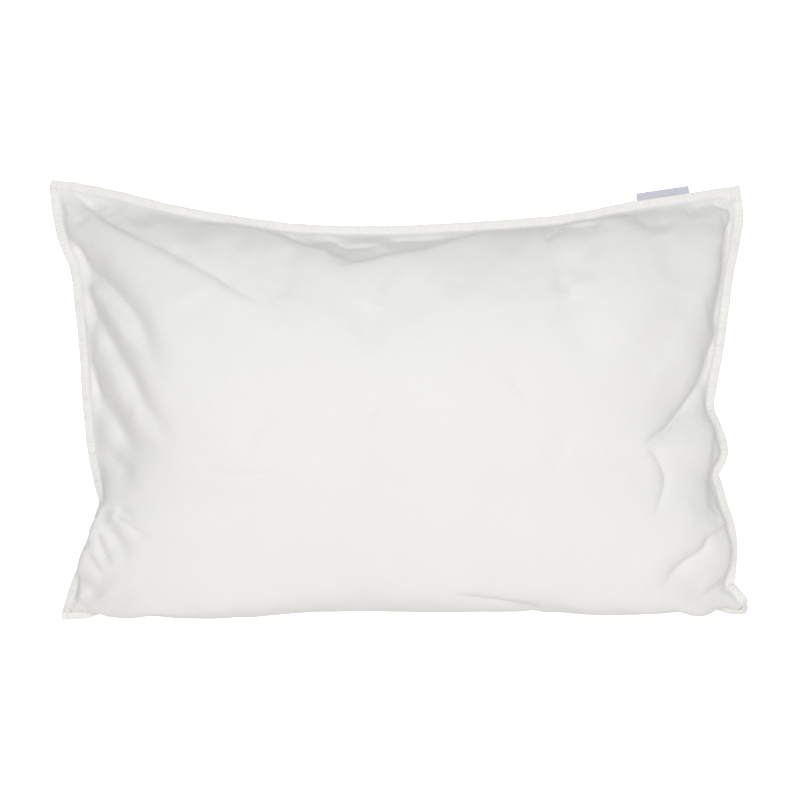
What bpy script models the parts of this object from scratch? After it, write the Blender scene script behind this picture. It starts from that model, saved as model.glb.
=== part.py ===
"""A pillowcase of washed white cotton, filled with a 50 x 70 cm pillow and lying on its back.

X runs along the long edges, Y from the bottom edge to the top edge, Z up. The origin is on the surface
that the case lies on, under the middle of its outline. Tables and sizes are in millimetres.
"""

from math import cos, exp, pi, radians, sin

import bmesh
import bpy
import numpy as np
from mathutils import Vector

MM = 0.001
UP = Vector((0, 0, 1))

# Seam allowance and edging
LIP_THICK = 1.0  # both panels pressed together
LIP_REACH = 8.8
LIP_CLIPPED = 0.6  # at the corners, where the allowance is clipped short
CLIP_FADE = 12  # and how far along the seam from there it is full again
EASE = 0.3  # between one piece and the next
SLOT_EASE = 0.4  # and round the seam allowance, which twists inside its strip
STRIP_CLEAR = 0.02  # of a short edge, from a corner to the start of its strip
BAND_WALL = 0.6  # folded strip, cotton and its turned-in edge
BAND_START = 1.3  # from the seam to the strip's inner edge
BAND_REACH = 10.0  # from the seam to the strip's folded edge

# Filled form
CROWN = 78  # the front's highest point over the seams
CROWN_AT = 0.42  # of the way up from the bottom edge
ALONG_ROUND, ALONG_RISE = 3.8, 0.56  # how flat the crown is from end to end, and how steep at the seams
UPRIGHT_ROUND, UPRIGHT_RISE = 4.8, 0.56  # and from edge to edge
BULGE_AT = 16  # inward from the seam, where a carried-out side is widest
FOLD_FADE = 26  # folds lose their depth where the case is thinner than this
BACK_TURN = {"bottom": 48, "top": 92, "left": 80, "right": 80}  # seam to flat underside
BACK_ROUND, BACK_RISE = 2.2, 0.8  # how soon the underside turns level, and how steep at the seams

# Mesh
CELLS_ALONG, CELLS_UPRIGHT = 48, 36
CROWDED = 0.55  # how far the rows crowd towards the seams
CORNER_FAN = 4
LABEL_CELLS = 6
WELD = 0.001
FLAT = 0.001  # no higher than this, the underside is one flat face
LENGTH_STEPS = 100  # to add up an edge's length
RUN_STEP = 0.004  # of an edge, to either side, to find which way it runs
SHARP_FROM = 50  # degrees between faces

CORNERS = {  # x, y, z of the seam; droop of the allowance in degrees; how far the front is carried outwards
    "lower_left": (-330, -209.5, 25, 30, 0),
    "lower_right": (342, -206.5, 30, 50, 0),
    "upper_left": (-340.5, 211.5, 40, 0, 0),
    "upper_right": (331.5, 205.5, 42, 0, 0),
}
SEAMS = {  # rows between the corners: bottom and top run to the right, left and right run upwards
    "bottom": (
        (-316, -209, 24, 33, 6),
        (-300, -205, 23, 48, 26),
        (-250, -197, 22, 61, 27),
        (-160, -192, 22, 65, 32),
        (-100, -188, 22, 65, 32),
        (-40, -189, 22, 65, 30),
        (50, -191, 22, 65, 29),
        (150, -191, 22, 65, 29),
        (220, -189, 23, 65, 32),
        (290, -192, 25, 61, 27),
        (318, -202, 27, 56, 19),
        (333, -206.5, 29, 50, 0),
    ),
    "top": (
        (-325, 209.5, 41, 0, 0),
        (-288, 202, 50, 5, 0),
        (-228, 187, 62, 10, 0),
        (-168, 176, 69, 10, 0),
        (-108, 168, 73, 10, 0),
        (-28, 165, 75, 10, 0),
        (52, 168, 75, 10, 0),
        (112, 172, 73, 10, 0),
        (172, 178, 68, 10, 0),
        (232, 190, 60, 8, 0),
        (290, 199, 49, 4, 0),
        (316, 203, 43, 0, 0),
    ),
    "left": (
        (-323, -189, 28, 22, 9),
        (-314, -165, 33, 36, 19),
        (-302, -141, 39, 37, 21),
        (-298, -119, 44, 34, 18),
        (-293, -101, 48, 32, 12),
        (-296, -83, 53, 28, 6),
        (-301, -57, 59, 24, 0),
        (-306, -9, 66, 20, 0),
        (-310, 51, 68, 20, 0),
        (-315, 99, 65, 20, 0),
        (-320, 135, 60, 15, 0),
        (-332, 165, 52, 8, 0),
        (-338.5, 195, 42, 0, 0),
    ),
    "right": (
        (340, -203, 32, 14, 0),
        (333.5, -194, 34, 8, 0),
        (324.5, -183, 37, 8, 0),
        (326, -175, 39, 12, 5),
        (328, -160, 41, 20, 9),
        (326, -127, 45, 18, 10),
        (319, -105, 48, 18, 9),
        (314, -88, 50, 18, 8),
        (309.5, -72, 52, 18, 6),
        (318, -52, 55, 16, 9),
        (312, -28, 58, 14, 7),
        (304, -9, 61, 12, 3),
        (306, 17, 64, 10, 3),
        (312.5, 53, 66, 10, 5),
        (317.5, 89, 64, 10, 6),
        (322.5, 125, 59, 10, 6),
        (330, 161, 51, 6, 3),
        (333.5, 190, 43, 0, 0),
    ),
}
ENDS = {
    "bottom": ("lower_left", "lower_right"),
    "top": ("upper_left", "upper_right"),
    "left": ("lower_left", "upper_left"),
    "right": ("lower_right", "upper_right"),
}
OUTWARD_TURN = {"bottom": -1, "top": 1, "left": 1, "right": -1}  # outward lies left of the run, or right
TURNED_UP = 0.08  # of the right edge: the bottom strip ends here, its last stretch turned up at the corner

FOLDS = (  # start, middle and end (x, y); depth, negative for a ridge; half width
    ((-325, 204), (-243, 155), (-123, 90), 5, 10),  # from the upper left corner
    ((-327, 155), (-260, 105), (-218, 27), 9, 14),  # long trough down from the left edge
    ((-318, 139), (-280, 95), (-250, 52), -4, 11),  # the ridge beside it
    ((-324, 137), (-273, 55), (-217, -48), 7, 12),
    ((-320, 112), (-285, 27), (-253, -51), 7, 12),
    ((-303, 7), (-285, -38), (-265, -70), 5, 10),
    ((-298, -110), (-283, -131), (-266, -154), 6, 10),  # fan below the pinch in the left edge
    ((-305, -130), (-296, -148), (-283, -165), 4, 10),
    ((-200, 180), (-125, 160), (-50, 132), 8, 12),  # pocket under the upper edge
    ((-53, 131), (20, 152), (120, 173), 8, 14),
    ((315, 74), (287, 7), (240, -41), 7, 12),  # hooked crease at the right
    ((253, -50), (264, -83), (253, -110), 3.5, 12),
    ((323, -121), (290, -148), (248, -185), 5, 12),  # drawn from the lower right corner
    ((50, -193), (100, -198), (145, -208), 3, 10),
)
FOLD_STEPS = 12
FOLD_START = 0.12  # of the fade, already there at a fold's start

LABEL_FROM = 0.86  # of the top edge
LABEL_LONG = 54
LABEL_THICK = 1.0
LABEL_INNER, LABEL_OUTER = 4, 17.5  # from the seam

FINISHES = {  # colour, roughness, metallic
    "washed_cotton": ((0.87, 0.86, 0.84), 0.85, 0),
    "cotton_strip": ((0.89, 0.88, 0.85), 0.85, 0),
    "woven_tape": ((0.56, 0.57, 0.65), 0.7, 0),
}


def spread(t):
    """0..1 to 0..1, with steps that shorten towards both ends."""
    return (1 - CROWDED) * t + CROWDED * (1 - cos(pi * t)) / 2


def curve_through(rows):
    """A function of 0..1 that runs smoothly through the rows, and straight on past both ends."""
    rows = np.array(rows, float)
    steps = np.linalg.norm(np.diff(rows[:, :3], axis=0), axis=1)
    at = np.concatenate([[0], np.cumsum(steps)]) / steps.sum()
    slope = np.gradient(rows, at, axis=0)

    def value(s):
        inside = min(max(s, 0), 1)
        k = min(int(np.searchsorted(at, inside, side="right")) - 1, len(at) - 2)
        span = at[k + 1] - at[k]
        t = (inside - at[k]) / span
        rise = t * t * (3 - 2 * t)
        curved = rows[k] * (1 - rise) + rows[k + 1] * rise
        curved = curved + span * (slope[k] * t * (1 - t) ** 2 + slope[k + 1] * t * t * (t - 1))
        return curved + (slope[0] if s < 0 else slope[-1]) * (s - inside)

    return value


SEAM_AT = {
    name: curve_through((CORNERS[first], *SEAMS[name], CORNERS[last]))
    for name, (first, last) in ENDS.items()
}


def length_of(name):
    points = [Vector(SEAM_AT[name](i / LENGTH_STEPS)[:3]) for i in range(LENGTH_STEPS + 1)]
    return sum((b - a).length for a, b in zip(points, points[1:]))


LONG_SIDE, SHORT_SIDE = length_of("top"), length_of("left")


def outward_of(name, s):
    """The level direction out of the case, square to the seam."""
    run = SEAM_AT[name](s + RUN_STEP)[:2] - SEAM_AT[name](s - RUN_STEP)[:2]
    return (Vector((-run[1], run[0], 0)) * OUTWARD_TURN[name]).normalized()


def drooped(point, level, droop):
    """A frame: a seam's point, the way the seam allowance points, and the allowance's upper side."""
    pointing = level * cos(radians(droop)) - UP * sin(radians(droop))
    upper = level * sin(radians(droop)) + UP * cos(radians(droop))
    return point, pointing, upper


def frame_of(name, s):
    x, y, z, droop, _ = SEAM_AT[name](s)
    return drooped(Vector((x, y, z)), outward_of(name, s), droop)


def patch(u, v):
    """The surface that the seam loop spans, blended from its four edges."""
    bottom, top = (Vector(SEAM_AT[name](u)[:3]) for name in ("bottom", "top"))
    left, right = (Vector(SEAM_AT[name](v)[:3]) for name in ("left", "right"))
    low = Vector(CORNERS["lower_left"][:3]).lerp(Vector(CORNERS["lower_right"][:3]), u)
    high = Vector(CORNERS["upper_left"][:3]).lerp(Vector(CORNERS["upper_right"][:3]), u)
    return bottom.lerp(top, v) + left.lerp(right, u) - low.lerp(high, v)


def edge_distances(u, v):
    """How far in from each edge, along the cloth."""
    return {
        "bottom": v * SHORT_SIDE,
        "top": (1 - v) * SHORT_SIDE,
        "left": u * LONG_SIDE,
        "right": (1 - u) * LONG_SIDE,
    }


def crown(u, v):
    """How far the front stands over the seams: steep beside them, thin in the corners."""
    along = abs(2 * u - 1)
    upright = abs(v - CROWN_AT) / (CROWN_AT if v < CROWN_AT else 1 - CROWN_AT)
    full_along = max(0, 1 - along**ALONG_ROUND) ** ALONG_RISE
    full_upright = max(0, 1 - upright**UPRIGHT_ROUND) ** UPRIGHT_RISE
    return CROWN * full_along * full_upright


def overhang(u, v):
    """The shift that carries the front out over a tucked seam."""
    shift = Vector((0, 0, 0))
    for name, distance in edge_distances(u, v).items():
        s = u if name in ("bottom", "top") else v
        t = distance / BULGE_AT
        shift += outward_of(name, s) * SEAM_AT[name](s)[4] * t * exp(1 - t)
    return shift


def fold_line(start, middle, end):
    """Points along the bend from start through middle to end."""
    t = np.linspace(0, 1, FOLD_STEPS + 1)[:, None]
    start, middle, end = (np.array(point, float) for point in (start, middle, end))
    pull = 2 * middle - (start + end) / 2
    return start * (1 - t) ** 2 + pull * 2 * t * (1 - t) + end * t * t


FOLD_LINES = [(fold_line(*row[:3]), *row[3:]) for row in FOLDS]


def fold_depth(x, y):
    """How far the folds lower the front here. Each fades in at its start and out at its end."""
    depth = 0
    for line, deep, half in FOLD_LINES:
        gaps = np.hypot(line[:, 0] - x, line[:, 1] - y)
        nearest = int(gaps.argmin())
        fade = sin(pi * (FOLD_START + (1 - FOLD_START) * nearest / FOLD_STEPS))
        depth += deep * fade * exp(-((gaps[nearest] / half) ** 2))
    return depth


def front_point(u, v):
    height = crown(u, v)
    point = patch(u, v) + UP * height + overhang(u, v)
    return point - UP * fold_depth(point.x, point.y) * min(1, height / FOLD_FADE)


def back_point(u, v):
    """The underside: from the seams it turns down to the flat patch that the case rests on."""
    flat = patch(u, v)
    down = 1
    for name, distance in edge_distances(u, v).items():
        t = min(1, distance / BACK_TURN[name])
        down *= (1 - (1 - t) ** BACK_ROUND) ** BACK_RISE
    return Vector((flat.x, flat.y, flat.z * (1 - down)))


def lip_reach(name, s):
    """How far the seam allowance reaches: clipped at both ends of an edge and along the turned-up corner."""
    side = LONG_SIDE if name in ("bottom", "top") else SHORT_SIDE
    start = TURNED_UP if name == "right" else 0
    nearest = max(0, min(s - start, 1 - s)) * side
    return LIP_CLIPPED + (LIP_REACH - LIP_CLIPPED) * min(1, nearest / CLIP_FADE)


def lip_frame(u, v):
    """For a point of the grid's rim: the seam's point, its upper side, and the allowance's edge from it."""
    on_edges = {"bottom": (u, v == 0), "top": (u, v == 1), "left": (v, u == 0), "right": (v, u == 1)}
    edges = [(name, s) for name, (s, here) in on_edges.items() if here]
    frames = [frame_of(name, s) for name, s in edges]
    pointing = sum((frame[1] for frame in frames), Vector()).normalized()
    upper = sum((frame[2] for frame in frames), Vector())
    upper = (upper - pointing * upper.dot(pointing)).normalized()
    return frames[0][0], upper, pointing * lip_reach(*edges[0])


def add_panel(bm, surface, side):
    """One panel as a grid, its seam allowance extruded from the rim. Gives the allowance's outer edges."""
    grid = bmesh.ops.create_grid(bm, x_segments=CELLS_ALONG, y_segments=CELLS_UPRIGHT, size=0.5)
    allowance = {}
    for vert in grid["verts"]:
        u = spread(round((vert.co.x + 0.5) * CELLS_ALONG) / CELLS_ALONG)
        v = spread(round((vert.co.y + 0.5) * CELLS_UPRIGHT) / CELLS_UPRIGHT)
        if vert.is_boundary:
            point, upper, allowance[vert] = lip_frame(u, v)
            vert.co = point + upper * side * LIP_THICK / 2
        else:
            vert.co = surface(u, v)
    rim = [edge for edge in bm.edges if edge.is_boundary and edge.verts[0] in allowance]
    bmesh.ops.extrude_edge_only(bm, edges=rim)
    outer = set()
    for inner, reach in allowance.items():
        vert = next(edge.other_vert(inner) for edge in inner.link_edges if edge.other_vert(inner).is_boundary)
        vert.co += reach
        outer.update(edge for edge in vert.link_edges if edge.is_boundary)
    return list(outer)


def finished(name, bm, finish):
    """The bmesh as a named object in metres, its twisted quads all split the same way."""
    bmesh.ops.recalc_face_normals(bm, faces=bm.faces)
    bmesh.ops.triangulate(bm, faces=bm.faces, quad_method="SHORT_EDGE")
    bmesh.ops.scale(bm, vec=(MM, MM, MM), verts=bm.verts)
    mesh = bpy.data.meshes.new(name)
    bm.to_mesh(mesh)
    bm.free()
    mesh.materials.append(MATERIALS[finish])
    mesh.shade_smooth()
    mesh.set_sharp_from_angle(angle=radians(SHARP_FROM))
    pillowcase.objects.link(bpy.data.objects.new(name, mesh))


def filled_case():
    bm = bmesh.new()
    rims = add_panel(bm, front_point, 1) + add_panel(bm, back_point, -1)
    bmesh.ops.bridge_loops(bm, edges=rims)
    lying = [face for face in bm.faces if all(vert.co.z < FLAT for vert in face.verts)]
    bmesh.ops.dissolve_faces(bm, faces=lying)
    finished("filled_case", bm, "washed_cotton")


def sewn_strip(name, frames, section, finish):
    """A strip swept along a seam's frames. Its section is (outwards from the seam, above the allowance)."""
    bm = bmesh.new()
    runs = len(frames) - 1
    grid = bmesh.ops.create_grid(bm, x_segments=len(section), y_segments=runs, size=0.5)
    for vert in grid["verts"]:
        outwards, above = section[round((vert.co.x + 0.5) * len(section)) % len(section)]
        point, pointing, upper = frames[round((vert.co.y + 0.5) * runs)]
        vert.co = point + pointing * outwards + upper * above
    bmesh.ops.remove_doubles(bm, verts=bm.verts, dist=WELD)
    bmesh.ops.holes_fill(bm, edges=[edge for edge in bm.edges if edge.is_boundary], sides=len(section))
    finished(name, bm, finish)


def folded_section():
    """Round the seam allowance: up its top, over its edge and back beneath, with a slot for it."""
    slot = LIP_THICK / 2 + SLOT_EASE
    outside = slot + BAND_WALL
    slot_end = LIP_REACH + EASE
    return (
        (BAND_START, outside),
        (BAND_REACH, outside),
        (BAND_REACH, -outside),
        (BAND_START, -outside),
        (BAND_START, -slot),
        (slot_end, -slot),
        (slot_end, slot),
        (BAND_START, slot),
    )


def edge_frames(name, cells, first=0, last=1):
    """Frames at the body's own rows along an edge, so that strip and allowance bend alike."""
    stations = [spread(i / cells) for i in range(cells + 1)]
    return [frame_of(name, s) for s in stations if first <= s <= last]


def square_end(name, s):
    """One frame past the end of a long edge, so that its strip's cut end lies across the short edge's."""
    return frame_of(name, s + (1 if s else -1) * BAND_REACH / LONG_SIDE)


def turned_corner():
    """Frames that fan round the lower right corner, from the bottom edge's to the right edge's."""
    first, last = outward_of("bottom", 1), outward_of("right", 0)
    *place, droop, _ = CORNERS["lower_right"]
    turns = [i / CORNER_FAN for i in range(1, CORNER_FAN)]
    return [drooped(Vector(place), first.slerp(last, turn), droop) for turn in turns]


def bindings():
    section = folded_section()
    top = [square_end("top", 0), *edge_frames("top", CELLS_ALONG), square_end("top", 1)]
    bottom = [square_end("bottom", 0), *edge_frames("bottom", CELLS_ALONG), *turned_corner()]
    bottom += edge_frames("right", CELLS_UPRIGHT, last=TURNED_UP)
    left = edge_frames("left", CELLS_UPRIGHT, first=STRIP_CLEAR)
    right = edge_frames("right", CELLS_UPRIGHT, first=TURNED_UP + STRIP_CLEAR)
    sewn_strip("top_binding", top, section, "cotton_strip")
    sewn_strip("bottom_binding", bottom, section, "cotton_strip")
    sewn_strip("left_binding", left, section, "cotton_strip")
    sewn_strip("right_binding", right, section, "cotton_strip")


def label():
    """The folded woven label, sewn behind the top strip and standing out past it."""
    under = LIP_THICK / 2 + SLOT_EASE + BAND_WALL + EASE
    section = (
        (LABEL_INNER, -under),
        (LABEL_OUTER, -under),
        (LABEL_OUTER, -under - LABEL_THICK),
        (LABEL_INNER, -under - LABEL_THICK),
    )
    step = LABEL_LONG / LONG_SIDE / LABEL_CELLS
    frames = [frame_of("top", LABEL_FROM + step * i) for i in range(LABEL_CELLS + 1)]
    sewn_strip("label", frames, section, "woven_tape")


def make_finish(name, colour, roughness, metallic):
    material = bpy.data.materials.new(name)
    material.use_nodes = True
    shader = material.node_tree.nodes["Principled BSDF"]
    shader.inputs["Base Color"].default_value = (*colour, 1)
    shader.inputs["Roughness"].default_value = roughness
    shader.inputs["Metallic"].default_value = metallic
    return material


def centre_on_outline():
    """Moves every piece level, so that the origin lies under the middle of the whole outline."""
    corners = np.array([corner for piece in pillowcase.objects for corner in piece.bound_box])
    low, high = corners.min(axis=0), corners.max(axis=0)
    for piece in pillowcase.objects:
        piece.location = (-(low[0] + high[0]) / 2, -(low[1] + high[1]) / 2, 0)


for old in list(bpy.data.objects):
    bpy.data.objects.remove(old)
pillowcase = bpy.data.collections.new("filled_pillowcase")
bpy.context.scene.collection.children.link(pillowcase)
MATERIALS = {name: make_finish(name, *finish) for name, finish in FINISHES.items()}
filled_case()
bindings()
label()
centre_on_outline()
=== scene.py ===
"""The looks of a filled white pillowcase that lies on its back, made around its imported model.

X runs along the long edges, Y from the bottom edge to the top edge and Z up. The tables and the functions
that read them are in millimetres, from a point close to the middle of the outline, and OUTLINE_SHIFT brings
that point to the frame's origin. The settings are in metres.
"""

from collections import namedtuple
from math import pi

import bmesh
import bpy
import numpy as np
from bpy.props import FloatProperty, FloatVectorProperty, IntProperty, PointerProperty
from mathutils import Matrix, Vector, noise


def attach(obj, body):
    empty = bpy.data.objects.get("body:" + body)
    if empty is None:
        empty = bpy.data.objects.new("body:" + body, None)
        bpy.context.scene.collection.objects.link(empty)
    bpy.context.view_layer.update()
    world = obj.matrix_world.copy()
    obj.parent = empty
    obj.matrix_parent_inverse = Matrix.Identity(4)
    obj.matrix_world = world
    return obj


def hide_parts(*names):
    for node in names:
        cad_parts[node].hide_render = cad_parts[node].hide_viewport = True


bl_info = {
    "name": "Filled Pillowcase",
    "version": (1, 0, 0),
    "blender": (4, 5, 0),
    "location": "View3D > Sidebar > Pillowcase",
    "description": "Makes a filled cotton pillowcase with its sewn edging, its label and a studio stage",
    "category": "Object",
}

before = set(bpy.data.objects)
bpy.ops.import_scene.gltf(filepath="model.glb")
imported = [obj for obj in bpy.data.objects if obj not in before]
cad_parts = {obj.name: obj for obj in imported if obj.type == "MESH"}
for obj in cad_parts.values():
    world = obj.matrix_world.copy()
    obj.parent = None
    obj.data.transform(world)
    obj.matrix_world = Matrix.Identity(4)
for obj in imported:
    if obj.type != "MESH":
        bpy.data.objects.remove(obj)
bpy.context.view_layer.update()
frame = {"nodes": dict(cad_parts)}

MM = 0.001
TINY = 1e-9
UP = np.array((0.0, 0.0, 1.0))
OUTLINE_SHIFT = np.array((0.426, -0.690, 0.0))

# The seam between front and back, as the solids have it
LIP_THICK = 1.0
LIP_REACH = 5.0  # of the allowance, enough to lie hidden in the strip
CROWN_AT = 0.42  # of the way up from the bottom edge
ALONG_ROUND, ALONG_RISE = 3.8, 0.56  # a higher ROUND flattens the crown, a lower RISE steepens its sides
UPRIGHT_ROUND, UPRIGHT_RISE = 4.8, 0.56
BULGE_AT = 16  # from the seam to where the front is carried out furthest
CARRY_GAIN = 1.18  # the simulation draws the carried-out sides back in by so much
BACK_TURN = {"bottom": 48, "top": 92, "left": 80, "right": 80}  # from the seam to the flat patch
BACK_ROUND, BACK_RISE = 2.2, 0.8
CROWDED = 0.55  # how far the rows crowd towards the seams
RUN_STEP = 0.004  # of an edge
HELD_BY_SEAM = 0.5  # this near the seam, the simulation moves nothing
HELD_BY_FLOOR = 1.0  # and this near the surface that the case lies on
STRETCH_STIFF, SHEAR_STIFF = 15, 5
FOLD_RISE = 3.4  # from the seam to where the folds have their whole depth
CRUMPLE_RISE = 16  # from the floor up to where the crumple has its whole depth

CORNERS = {  # x, y, z of the seam; droop of the allowance in degrees; how far the front is carried outwards
    "lower_left": (-330, -209.5, 25, 30, 0),
    "lower_right": (342, -206.5, 30, 50, 0),
    "upper_left": (-340.5, 211.5, 40, 0, 0),
    "upper_right": (331.5, 205.5, 42, 0, 0),
}
SEAMS = {  # rows between the corners: bottom and top run to the right, left and right run upwards
    "bottom": (
        (-316, -209, 24, 33, 10),
        (-300, -205, 23, 48, 20),
        (-250, -197, 22, 61, 28),
        (-200, -194, 22, 64, 32),
        (-160, -192, 22, 65, 33),
        (-100, -188, 22, 65, 32),
        (-40, -189, 22, 65, 30),
        (50, -191, 22, 65, 29),
        (150, -191, 22, 65, 29),
        (220, -189, 23, 65, 32),
        (290, -192, 25, 61, 27),
        (318, -202, 27, 56, 19),
        (333, -206.5, 29, 50, 0),
    ),
    "top": (
        (-325, 209.5, 41, 0, 0),
        (-288, 202, 50, 5, 0),
        (-228, 187, 62, 10, 0),
        (-168, 176, 69, 10, 0),
        (-108, 168, 73, 10, 0),
        (-28, 165, 75, 10, 0),
        (52, 168, 75, 10, 0),
        (112, 172, 73, 10, 0),
        (172, 178, 68, 10, 0),
        (232, 190, 60, 8, 0),
        (290, 199, 49, 4, 0),
        (316, 203, 43, 0, 0),
    ),
    "left": (
        (-323, -189, 28, 22, 9),
        (-314, -165, 33, 36, 19),
        (-302, -141, 39, 37, 21),
        (-298, -119, 44, 34, 18),
        (-293, -101, 48, 32, 12),
        (-296, -83, 53, 28, 6),
        (-301, -57, 59, 24, 0),
        (-306, -9, 66, 20, 0),
        (-310, 51, 68, 20, 0),
        (-315, 99, 65, 20, 0),
        (-320, 135, 60, 15, 0),
        (-332, 165, 52, 8, 0),
        (-338.5, 195, 42, 0, 0),
    ),
    "right": (
        (340, -203, 32, 14, 0),
        (333.5, -194, 34, 8, 0),
        (324.5, -183, 37, 8, 0),
        (326, -175, 39, 12, 5),
        (328, -160, 41, 20, 9),
        (326, -127, 45, 18, 10),
        (319, -105, 48, 18, 9),
        (314, -88, 50, 18, 8),
        (309.5, -72, 52, 18, 6),
        (318, -52, 55, 16, 9),
        (312, -28, 58, 14, 7),
        (304, -9, 61, 12, 3),
        (306, 17, 64, 10, 3),
        (312.5, 53, 66, 10, 5),
        (317.5, 89, 64, 10, 6),
        (322.5, 125, 59, 10, 6),
        (330, 161, 51, 6, 3),
        (333.5, 190, 43, 0, 0),
    ),
}
ENDS = {
    "bottom": ("lower_left", "lower_right"),
    "top": ("upper_left", "upper_right"),
    "left": ("lower_left", "upper_left"),
    "right": ("lower_right", "upper_right"),
}
OUTWARD_TURN = {"bottom": -1, "top": 1, "left": 1, "right": -1}  # outward lies left of the run, or right
TURNED_UP = 0.08  # of the right edge: where the bottom strip ends, turned up at the corner

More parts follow.
